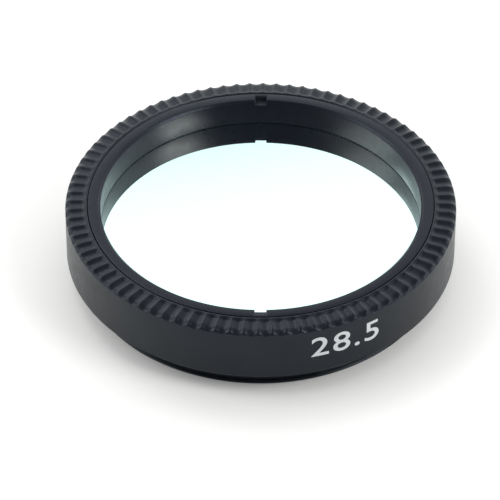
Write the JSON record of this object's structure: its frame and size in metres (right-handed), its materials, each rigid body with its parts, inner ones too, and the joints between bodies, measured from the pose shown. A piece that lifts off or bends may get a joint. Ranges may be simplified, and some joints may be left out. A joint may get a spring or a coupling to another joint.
{
  "type": "optical bandpass filter",
  "caption": "Round screw-in optical filter: coated glass disc held by a notched threaded ring in a black fluted cell with a short male thread under its shoulder",
  "frame": {"origin": "Centre of the end of the male thread, which is the bottom of the part", "axes": "+Z along the optical axis, from the thread to the fluted rim. +Y through one key notch of the ring and -Y through the other"},
  "size_m": [0.031, 0.031, 0.0066],
  "materials": {
    "cell": "satin black anodised",
    "filter_glass": "polished, with a reflective interference coating of a pale cyan tint",
    "retaining_ring": "satin black anodised"
  },
  "bodies": {
    "root": {"cell": "cell", "filter_glass": "filter_glass", "retaining_ring": "retaining_ring"}
  },
  "joints": []
}
